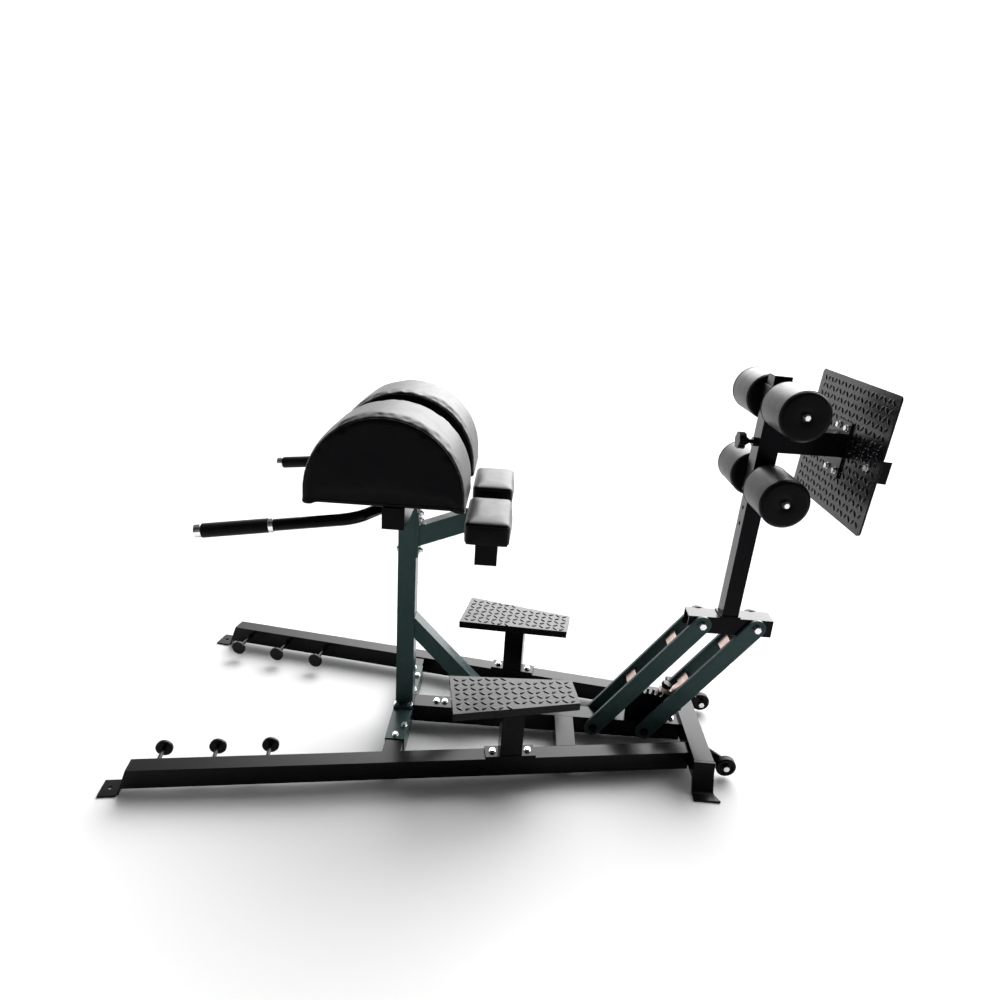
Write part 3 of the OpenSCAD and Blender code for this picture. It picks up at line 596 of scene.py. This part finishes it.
def thigh_pads():
    """The two small pads: one block on its foot, swollen, with a seam round the top."""
    lo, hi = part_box("thigh_pad_right")
    lo_in = Vector((lo.x + THIGH_ROOM, lo.y + THIGH_ROOM, lo.z - THIGH_WRAP))
    hi_in = Vector((hi.x - THIGH_ROOM, hi.y - THIGH_ROOM, hi.z - THIGH_ROOM))
    outline = round_rect(lo_in, hi_in, THIGH_CORNER)
    rings = [(lo_in.z, THIGH_FOOT_EDGE), (lo_in.z + THIGH_FOOT_EDGE, 0)]
    rings += [(hi_in.z - THIGH_EDGE + THIGH_EDGE * math.sin(t), THIGH_EDGE * (1 - math.cos(t)))
              for t in quarter(6)]
    bm = bmesh.new()
    loft(bm, [[Vector((x, y, z)) for x, y in inset(outline, into)] for z, into in rings])
    swollen = inflate(bm, THIGH_SWELL, lo.z)
    ring = [Vector((x, y, hi_in.z - THIGH_EDGE * SEAM_SHARE)) for x, y in outline]
    finish_pads("thigh_pad", swollen, [laid_seam(swollen, ring, THIGH_SEAM_R)])


# ---------------------------------------------------------------- rollers

ROLLER_SIDES = 72
ROLLER_BORE = 10.3 * MM
# radius of the rounded rims, and how far the middle swells past them
ROLLER_ROUND = 11 * MM
ROLLER_CROWN = 0.9 * MM
CROWN_STEPS = 8
ROLLER_SEAM_R = 1.1 * MM


def roller_profile(radius, length):
    """Radius and distance along the roller: turned-in lip, rounded rim and slightly crowned side."""
    end = [(ROLLER_BORE, 5 * MM), (ROLLER_BORE + 6 * MM, 2 * MM), (radius * 0.45, 0.6 * MM)]
    for t in quarter(8):
        end.append((radius - ROLLER_ROUND * (1 - math.sin(t)), ROLLER_ROUND * (1 - math.cos(t))))
    side = []
    for k in range(1, CROWN_STEPS):
        share = k / CROWN_STEPS
        side.append((radius + ROLLER_CROWN * math.sin(math.pi * share),
                     ROLLER_ROUND + (length - 2 * ROLLER_ROUND) * share))
    return end + side + [(r, length - along) for r, along in reversed(end)]


def roller(node, body):
    """A foam sleeve in its vinyl cover, with a seam round each rim."""
    lo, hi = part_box(node)
    radius = (hi.z - lo.z) / 2
    length = hi.y - lo.y
    start = Vector(((lo.x + hi.x) / 2, lo.y, (lo.z + hi.z) / 2))
    bm = bmesh.new()
    lathe(bm, start, Y_AXIS, roller_profile(radius, length), ROLLER_SIDES)
    cover = add_piece(node + "_cover", bm, body, "roller_foam")
    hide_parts(node)
    bm = bmesh.new()
    for along in (ROLLER_ROUND * SEAM_SHARE, length - ROLLER_ROUND * SEAM_SHARE):
        ring = circle(start + along * Y_AXIS, X_AXIS, Z_AXIS, radius, ROLLER_SIDES)
        cord_loop(bm, ring, ROLLER_SEAM_R)
    add_piece(node + "_seams", bm, body, "roller_foam")


def rollers():
    for level in ("upper", "lower"):
        for side in ("left", "right"):
            roller(f"roller_{level}_{side}", f"{level}_roller_{side}")


# ---------------------------------------------------------------- tread plate

BAR_LENGTH = 22 * MM
BAR_WIDTH = 9 * MM
BAR_HEIGHT = 2.3 * MM
BAR_PITCH = 23.5 * MM
# least distance from a bar's middle to the plate's edge
BAR_MARGIN = 7 * MM
BAR_SIDES = 12
# the bar's rings from foot to crest: share of its outline and of its height
BAR_RINGS = ((1.0, -0.1), (0.96, 0.25), (0.72, 0.8), (0.36, 1.0))
SAME_LEVEL = 0.1 * MM


def tread_bar(bm, at, length_way, width_way, out):
    """One oval bar with a rounded crest."""
    rings = []
    for size, height in BAR_RINGS:
        ring = []
        for k in range(BAR_SIDES):
            t = math.tau * k / BAR_SIDES
            x = size * BAR_LENGTH / 2 * math.cos(t)
            y = size * BAR_WIDTH / 2 * math.sin(t)
            ring.append(at + x * length_way + y * width_way + height * BAR_HEIGHT * out)
        rings.append(ring)
    loft(bm, rings)


def tread_bars(name, corners, body):
    """Raised bars on the face with these four corners, each turned across its neighbours."""
    a, b, c, d = (Vector(p) for p in corners)
    along = (b - a + c - d).normalized()
    out = along.cross(d - a).normalized()
    across = out.cross(along)
    middle = (a + b + c + d) / 4
    flat = [((p - middle).dot(along), (p - middle).dot(across)) for p in (a, b, c, d)]
    reach = int(max(max(abs(u), abs(v)) for u, v in flat) / BAR_PITCH) + 2

    def inside(u, v):
        for (u0, v0), (u1, v1) in zip(flat, flat[1:] + flat[:1]):
            length = math.hypot(u1 - u0, v1 - v0)
            if ((u1 - u0) * (v - v0) - (v1 - v0) * (u - u0)) / length < BAR_MARGIN:
                return False
        return True

    bm = bmesh.new()
    for i in range(-reach, reach + 1):
        for j in range(-reach, reach + 1):
            u, v = i * BAR_PITCH, j * BAR_PITCH
            if not inside(u, v):
                continue
            turn = math.radians(45 if (i + j) % 2 else -45)
            length_way = math.cos(turn) * along + math.sin(turn) * across
            width_way = -math.sin(turn) * along + math.cos(turn) * across
            tread_bar(bm, middle + u * along + v * across, length_way, width_way, out)
    add_piece(name, bm, body, "tread_plate")


def vertices(node):
    return np.array([v.co for v in NODES[node].data.vertices])


def step_treads():
    """Bars on the tops of the two steps, whose long sides run about along X."""
    for side in ("right", "left"):
        points = vertices(f"step_plate_{side}")
        top = points[points[:, 2] > points[:, 2].max() - SAME_LEVEL]
        corners = [top[np.argmax(x_way * top[:, 0] + y_way * top[:, 1])]
                   for x_way, y_way in ((-1, -1), (1, -1), (1, 1), (-1, 1))]
        tread_bars(f"step_tread_{side}", corners, "base")


def foot_tread():
    """Bars on the front of the footplate."""
    points = vertices("footplate")
    end = points[points[:, 1] > points[:, 1].max() - SAME_LEVEL]
    end = end[np.argsort(end[:, 2])]
    half = len(end) // 2
    low = end[:half][np.argmin(end[:half][:, 0])]
    high = end[half:][np.argmin(end[half:][:, 0])]
    # from the ends of the straight side out to the rounded corners' full reach
    up = (high - low) / np.linalg.norm(high - low)
    reach = points @ up
    low = low + up * (reach.min() - low @ up)
    high = high + up * (reach.max() - high @ up)
    left, right = points[:, 1].min(), points[:, 1].max()
    corners = [(low[0], right, low[2]), (low[0], left, low[2]),
               (high[0], left, high[2]), (high[0], right, high[2])]
    tread_bars("foot_tread", corners, "ankle_head")


# ---------------------------------------------------------------- studio

# half the floor's side, and its gap under the machine's feet
FLOOR_HALF = 30
FLOOR_DROP = 0.5 * MM
# one wide soft light behind the machine, in a room with white walls and a dim ceiling
SOFTBOX_TOWARDS = (0.34, 0.71, 0.62)
SOFTBOX_LIGHT = 10.0
BACK_WALL_LIGHT = 1.2
WALL_LIGHT = 1.0
CEILING_LIGHT = 0.25
# share of the walls' light that the near end of the room keeps
NEAR_END = 0.2


def make_floor():
    bm = bmesh.new()
    bmesh.ops.create_grid(bm, x_segments=1, y_segments=1, size=FLOOR_HALF)
    floor = new_object("floor", bm)
    floor.location.z = -FLOOR_DROP
    s = Shader("floor_paint", Roughness=0.9, Specular_IOR_Level=0.1)
    s.colours(s.noise(scale=0.6, detail=2), (0.77, 0.77, 0.77), (0.80, 0.80, 0.80))
    floor.data.materials.append(s.mat)


def light_room():
    scene = bpy.context.scene
    scene.view_settings.view_transform = "Standard"
    scene.view_settings.look = "None"
    world = bpy.data.worlds.new("studio")
    scene.world = world
    world.use_nodes = True
    tree = world.node_tree
    tree.nodes.clear()
    place = tree.nodes.new("ShaderNodeTexCoord").outputs["Generated"]

    def glow(towards, start, end, low, high):
        """Light that eases from low to high as a direction turns towards the given one."""
        dot = tree.nodes.new("ShaderNodeVectorMath")
        dot.operation = "DOT_PRODUCT"
        dot.inputs[1].default_value = Vector(towards).normalized()
        tree.links.new(place, dot.inputs[0])
        ease = tree.nodes.new("ShaderNodeMapRange")
        ease.interpolation_type = "SMOOTHSTEP"
        set_range(ease, start, end, low, high)
        tree.links.new(dot.outputs["Value"], ease.inputs["Value"])
        return ease.outputs["Result"]

    def joined(operation, first, second):
        made = tree.nodes.new("ShaderNodeMath")
        made.operation = operation
        tree.links.new(first, made.inputs[0])
        tree.links.new(second, made.inputs[1])
        return made.outputs["Value"]

    # the starts and ends are cosines of the angle off each direction
    softbox = glow(SOFTBOX_TOWARDS, 0.707, 0.985, 0, SOFTBOX_LIGHT)
    walls = glow((0, 0, 1), 0.30, 0.65, WALL_LIGHT, CEILING_LIGHT)
    back_wall = glow((0, 1, 0), 0.55, 0.85, 0, BACK_WALL_LIGHT)
    near_end = glow((0, -1, 0), -0.2, 0.5, 1.0, NEAR_END)
    room = joined("ADD", joined("MULTIPLY", walls, near_end), back_wall)
    back = tree.nodes.new("ShaderNodeBackground")
    tree.links.new(joined("ADD", softbox, room), back.inputs["Strength"])
    out = tree.nodes.new("ShaderNodeOutputWorld")
    tree.links.new(back.outputs["Background"], out.inputs["Surface"])


make_camera()
dress_cad()
hip_pads()
thigh_pads()
rollers()
step_treads()
foot_tread()
make_floor()
light_room()
